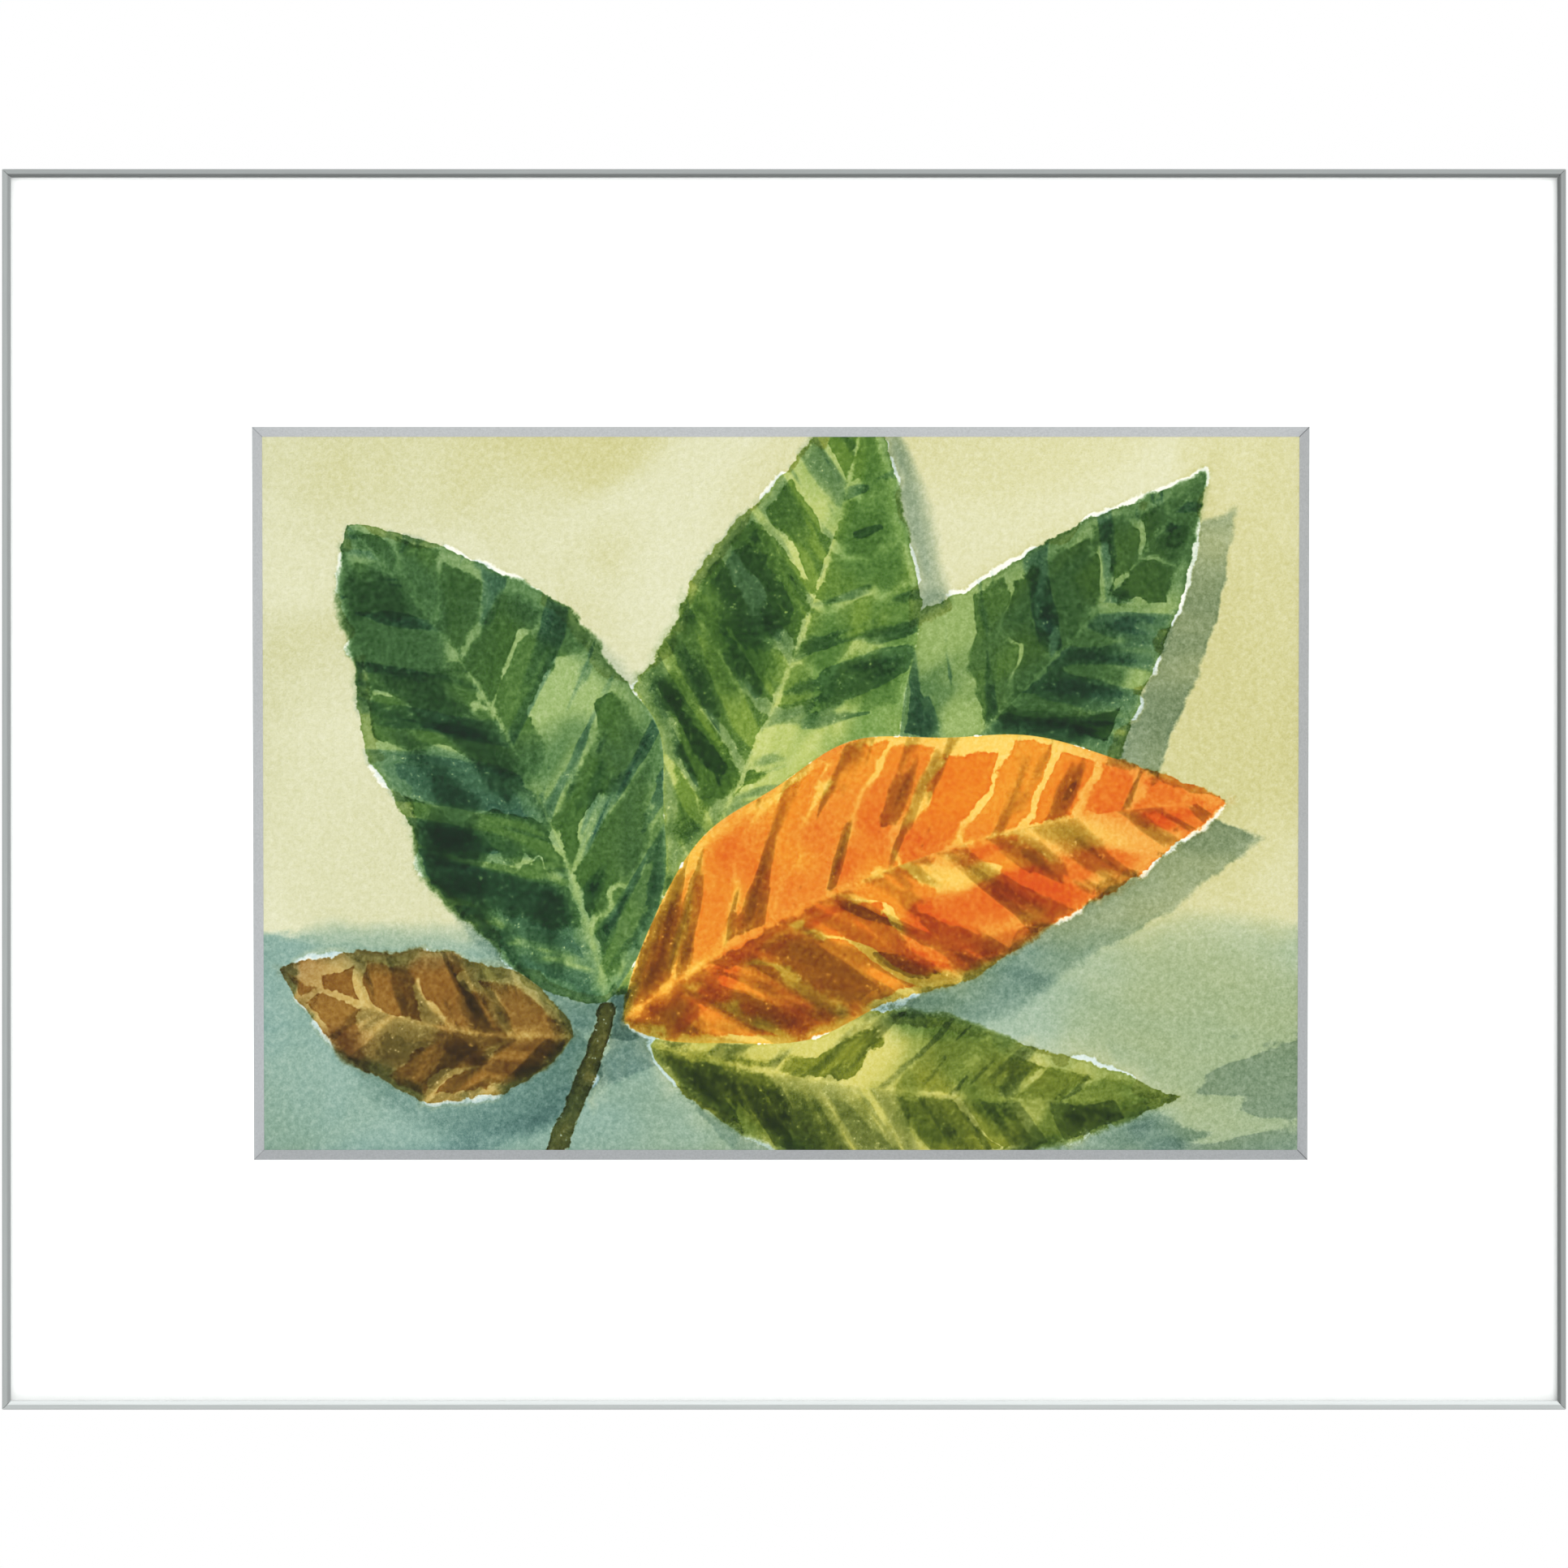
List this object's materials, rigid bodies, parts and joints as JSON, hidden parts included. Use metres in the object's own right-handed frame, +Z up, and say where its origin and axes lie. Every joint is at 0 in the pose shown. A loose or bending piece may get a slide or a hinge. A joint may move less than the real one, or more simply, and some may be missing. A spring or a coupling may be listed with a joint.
{
  "type": "framed watercolour picture",
  "caption": "Small watercolour behind glass in a wide white bevelled mat and a slim grey aluminium section frame, hung from a sawtooth strip.",
  "frame": {"origin": "point in the middle notch of the sawtooth hanger where the wall nail bears", "axes": "+X along the width, towards the viewer's right; +Y back into the wall; +Z up"},
  "size_m": [0.36, 0.0227, 0.2856],
  "materials": {
    "frame_aluminium": "satin grey anodised aluminium extrusion with fine lengthwise lines",
    "zinc_steel": "zinc-plated stamped steel, dull and slightly mottled",
    "spring_steel": "blued spring steel strip with rolling lines",
    "picture_glass": "clear float glass, polished faces and faint green edges",
    "mat_board": "smooth white mat board with a cut white core at the bevels",
    "watercolour_paper": "cold-pressed rag paper with transparent washes",
    "hinge_paper": "thin long-fibred hinging paper",
    "linen_tape": "gummed white linen tape, plain weave",
    "mount_board": "off-white mount board, matt",
    "hardboard": "brown tempered hardboard with fine fibre flecks",
    "bumper_rubber": "dark grey rubber dot, matt"
  },
  "bodies": {
    "root": {"rail_top": "frame_aluminium", "rail_right": "frame_aluminium", "rail_bottom": "frame_aluminium", "rail_left": "frame_aluminium", "corner_angle_top_left": "zinc_steel", "corner_plate_top_left": "zinc_steel", "set_screw_top_left_1": "zinc_steel", "set_screw_top_left_2": "zinc_steel", "corner_angle_top_right": "zinc_steel", "corner_plate_top_right": "zinc_steel", "set_screw_top_right_1": "zinc_steel", "set_screw_top_right_2": "zinc_steel", "corner_angle_bottom_right": "zinc_steel", "corner_plate_bottom_right": "zinc_steel", "set_screw_bottom_right_1": "zinc_steel", "set_screw_bottom_right_2": "zinc_steel", "corner_angle_bottom_left": "zinc_steel", "corner_plate_bottom_left": "zinc_steel", "set_screw_bottom_left_1": "zinc_steel", "set_screw_bottom_left_2": "zinc_steel", "spring_clip_top_left": "spring_steel", "spring_clip_top_right": "spring_steel", "spring_clip_right": "spring_steel", "spring_clip_bottom_right": "spring_steel", "spring_clip_bottom_left": "spring_steel", "spring_clip_left": "spring_steel", "glazing": "picture_glass", "window_mat": "mat_board", "artwork_sheet": "watercolour_paper", "paper_hinge_left": "hinge_paper", "paper_hinge_right": "hinge_paper", "mat_hinge_tape": "linen_tape", "mount_board": "mount_board", "backing_board": "hardboard", "sawtooth_hanger": "zinc_steel", "bumper_left": "bumper_rubber", "bumper_right": "bumper_rubber"}
  },
  "joints": []
}
